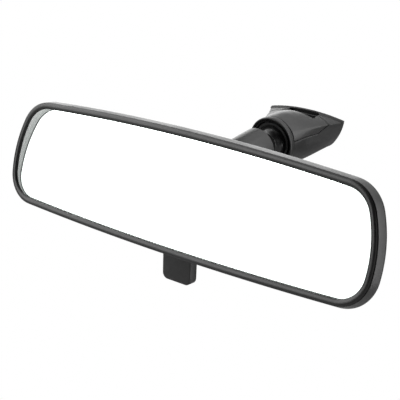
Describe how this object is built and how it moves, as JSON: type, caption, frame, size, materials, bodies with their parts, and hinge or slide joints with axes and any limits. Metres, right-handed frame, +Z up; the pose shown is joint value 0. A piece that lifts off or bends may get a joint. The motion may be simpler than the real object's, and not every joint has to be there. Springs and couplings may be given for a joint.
{
  "type": "interior rearview mirror",
  "caption": "Interior rearview mirror: wedge glass in a slim oblong case, day/night lever below, and a short arm with a ball joint at each end to a windscreen pad.",
  "frame": {"origin": "middle of the windscreen pad's flat face", "axes": "+X along the mirror's long side, +Y forwards to the windscreen, +Z up; the mirror's face looks along -Y"},
  "size_m": [0.242, 0.1271, 0.0978],
  "materials": {
    "rim_plastic": "satin black, moulded",
    "case_plastic": "fine grained black, moulded",
    "lever_plastic": "fine grained black, moulded",
    "sleeve_plastic": "fine grained black, moulded",
    "mount_plastic": "fine grained black, moulded",
    "inner_plastic": "smooth dark grey, moulded",
    "nylon": "smooth natural nylon",
    "glass": "polished, ground edge",
    "silver": "silvered",
    "tape": "woven film",
    "steel": "zinc plated",
    "spring_steel": "oiled spring steel",
    "rod_metal": "black coated"
  },
  "bodies": {
    "mount": {"mount_base": "mount_plastic", "mount_cover": "mount_plastic", "front_seat": "inner_plastic", "rear_seat": "inner_plastic", "seat_spring": "spring_steel", "spring_plate": "steel", "button_clip": "spring_steel", "clip_screws": "steel"},
    "base_liner": {"base_ball_liner": "nylon"},
    "arm": {"stalk_rod": "rod_metal", "stalk_sleeve": "sleeve_plastic"},
    "head_liner": {"head_ball_liner": "nylon"},
    "head_cup": {"head_ball_cup": "nylon"},
    "bracket": {"tilt_bracket": "inner_plastic", "socket_ring": "inner_plastic", "socket_screws": "steel", "head_spring_washer": "spring_steel"},
    "head": {"bezel": "rim_plastic", "rear_case": "case_plastic", "prism_glass": "glass", "silver_backing": "silver", "backing_tape": "tape", "hinge_pins": "steel", "toggle_pin": "steel", "toggle_spring": "spring_steel"},
    "lever": {"toggle_lever": "lever_plastic"}
  },
  "joints": [
    {"name": "arm_swing", "type": "hinge", "parent": "mount", "child": "base_liner", "pos_m": [0, -0.03519, -0.0095], "axis": [0, -0.3007, 0.9537], "range_deg": [-20, 20]},
    {"name": "arm_tilt", "type": "hinge", "parent": "base_liner", "child": "arm", "pos_m": [0, -0.03519, -0.0095], "axis": [1, 0, 0], "range_deg": [-20, 20]},
    {"name": "head_yaw", "type": "hinge", "parent": "arm", "child": "head_liner", "pos_m": [0, -0.096, -0.02867], "axis": [0, 0, 1], "range_deg": [-18, 18]},
    {"name": "head_pitch", "type": "hinge", "parent": "head_liner", "child": "head_cup", "pos_m": [0, -0.096, -0.02867], "axis": [1, 0, 0], "range_deg": [-10, 10]},
    {"name": "head_roll", "type": "hinge", "parent": "head_cup", "child": "bracket", "pos_m": [0, -0.096, -0.02867], "axis": [0, 1, 0], "range_deg": [-10, 10]},
    {"name": "night_tilt", "type": "hinge", "parent": "bracket", "child": "head", "pos_m": [0, -0.105, -0.0164], "axis": [-1, 0, 0], "range_deg": [0, 4.5]},
    {"name": "lever_flip", "type": "hinge", "parent": "head", "child": "lever", "pos_m": [0, -0.1044, -0.0631], "axis": [-1, 0, 0], "range_deg": [0, 36]}
  ],
  "couplings": [
    {"joint": "lever_flip", "follows": "night_tilt", "ratio": 8}
  ]
}
